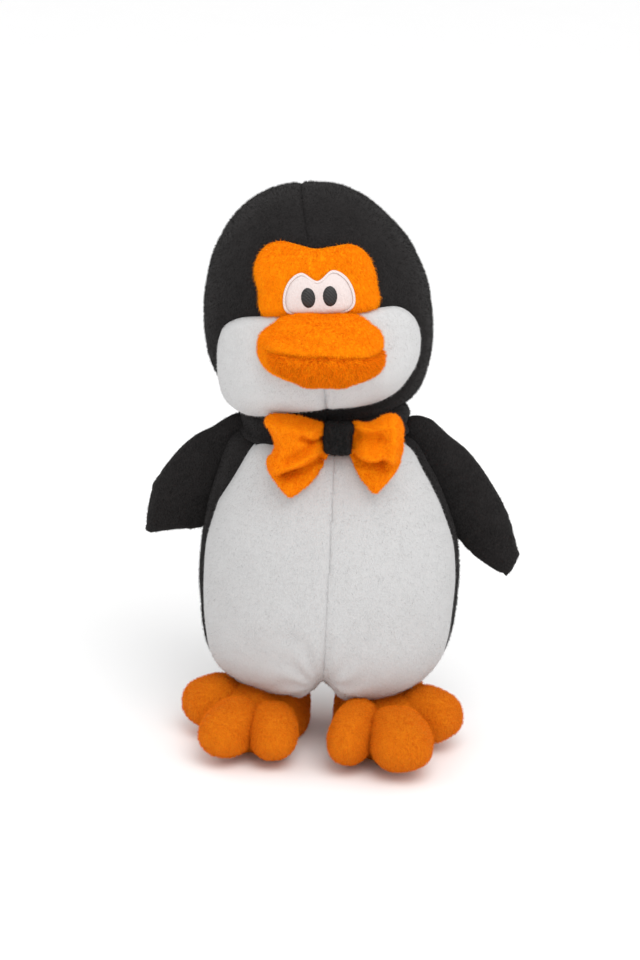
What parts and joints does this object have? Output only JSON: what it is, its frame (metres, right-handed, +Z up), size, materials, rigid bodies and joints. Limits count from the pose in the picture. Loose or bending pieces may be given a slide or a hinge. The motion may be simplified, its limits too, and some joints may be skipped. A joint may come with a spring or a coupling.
{
  "type": "plush penguin",
  "caption": "Stuffed plush penguin that stands on splayed toed feet, with swinging wings, a head that turns and tilts, and a soft bow tie at its neck.",
  "frame": {"origin": "on the ground, in the middle of the toy's outer box", "axes": "+Z up from the soles to the crown, -Y the way the face looks, +X to the right as seen from the front"},
  "size_m": [0.1969, 0.1359, 0.2922],
  "materials": {
    "black_velboa": "matte",
    "black_fleece": "matte",
    "black_thread": "matte",
    "white_velboa": "matte",
    "white_felt": "matte",
    "fibre_fill": "matte",
    "orange_long_pile": "matte",
    "orange_short_pile": "matte",
    "orange_fleece": "matte"
  },
  "bodies": {
    "body": {"body_stuffing": "fibre_fill", "belly_left": "white_velboa", "belly_right": "white_velboa", "back_left": "black_velboa", "back_right": "black_velboa", "leg_left": "white_velboa", "leg_right": "white_velboa", "bow_knot": "black_fleece"},
    "neck": {"neck_collar": "black_velboa"},
    "head": {"head_stuffing": "fibre_fill", "hood_left": "black_velboa", "hood_right": "black_velboa", "brow_patch": "orange_long_pile", "cheek_left": "white_velboa", "cheek_right": "white_velboa", "eye_patch": "white_felt", "pupil_left": "black_thread", "pupil_right": "black_thread", "beak_upper": "orange_long_pile", "beak_lower": "orange_long_pile"},
    "wing_left": {"wing_left_front": "black_velboa", "wing_left_back": "black_velboa", "wing_left_stuffing": "fibre_fill"},
    "foot_left": {"foot_left_instep": "orange_short_pile", "foot_left_stuffing": "fibre_fill", "foot_left_toe_inner": "orange_short_pile", "foot_left_toe_middle": "orange_short_pile", "foot_left_toe_outer": "orange_short_pile", "foot_left_sole": "orange_short_pile"},
    "bow_left": {"bow_left": "orange_fleece"},
    "wing_right": {"wing_right_front": "black_velboa", "wing_right_back": "black_velboa", "wing_right_stuffing": "fibre_fill"},
    "foot_right": {"foot_right_instep": "orange_short_pile", "foot_right_stuffing": "fibre_fill", "foot_right_toe_inner": "orange_short_pile", "foot_right_toe_middle": "orange_short_pile", "foot_right_toe_outer": "orange_short_pile", "foot_right_sole": "orange_short_pile"},
    "bow_right": {"bow_right": "orange_fleece"}
  },
  "joints": [
    {"name": "neck_turn", "type": "hinge", "parent": "body", "child": "neck", "pos_m": [-0.007, 0.0143, 0.186], "axis": [0, 0, 1], "range_deg": [-20, 20], "stiffness_Nm_per_rad": 0.4},
    {"name": "head_tilt", "type": "hinge", "parent": "neck", "child": "head", "pos_m": [-0.007, 0.0143, 0.186], "axis": [0, 1, 0], "range_deg": [-5, 12], "stiffness_Nm_per_rad": 0.6, "deforming": ["neck_collar"]},
    {"name": "wing_left_swing", "type": "hinge", "parent": "body", "child": "wing_left", "pos_m": [-0.052, 0.0143, 0.155], "axis": [0, 0.9659, 0.2588], "range_deg": [0, 50], "stiffness_Nm_per_rad": 0.1},
    {"name": "foot_left_flex", "type": "hinge", "parent": "body", "child": "foot_left", "pos_m": [-0.03, 0.0063, 0.031], "axis": [1, 0, 0], "range_deg": [-8, 8], "stiffness_Nm_per_rad": 4},
    {"name": "bow_left_bend", "type": "hinge", "parent": "body", "child": "bow_left", "pos_m": [-0.009, -0.0307, 0.175], "axis": [0, 0, 1], "range_deg": [0, 30], "stiffness_Nm_per_rad": 0.03},
    {"name": "wing_right_swing", "type": "hinge", "parent": "body", "child": "wing_right", "pos_m": [0.046, 0.0143, 0.155], "axis": [0, -0.9877, -0.1564], "range_deg": [0, 50], "stiffness_Nm_per_rad": 0.1},
    {"name": "foot_right_flex", "type": "hinge", "parent": "body", "child": "foot_right", "pos_m": [0.028, 0.0063, 0.031], "axis": [1, 0, 0], "range_deg": [-8, 8], "stiffness_Nm_per_rad": 4},
    {"name": "bow_right_bend", "type": "hinge", "parent": "body", "child": "bow_right", "pos_m": [0.01, -0.0307, 0.175], "axis": [0, 0, -1], "range_deg": [0, 30], "stiffness_Nm_per_rad": 0.03}
  ]
}
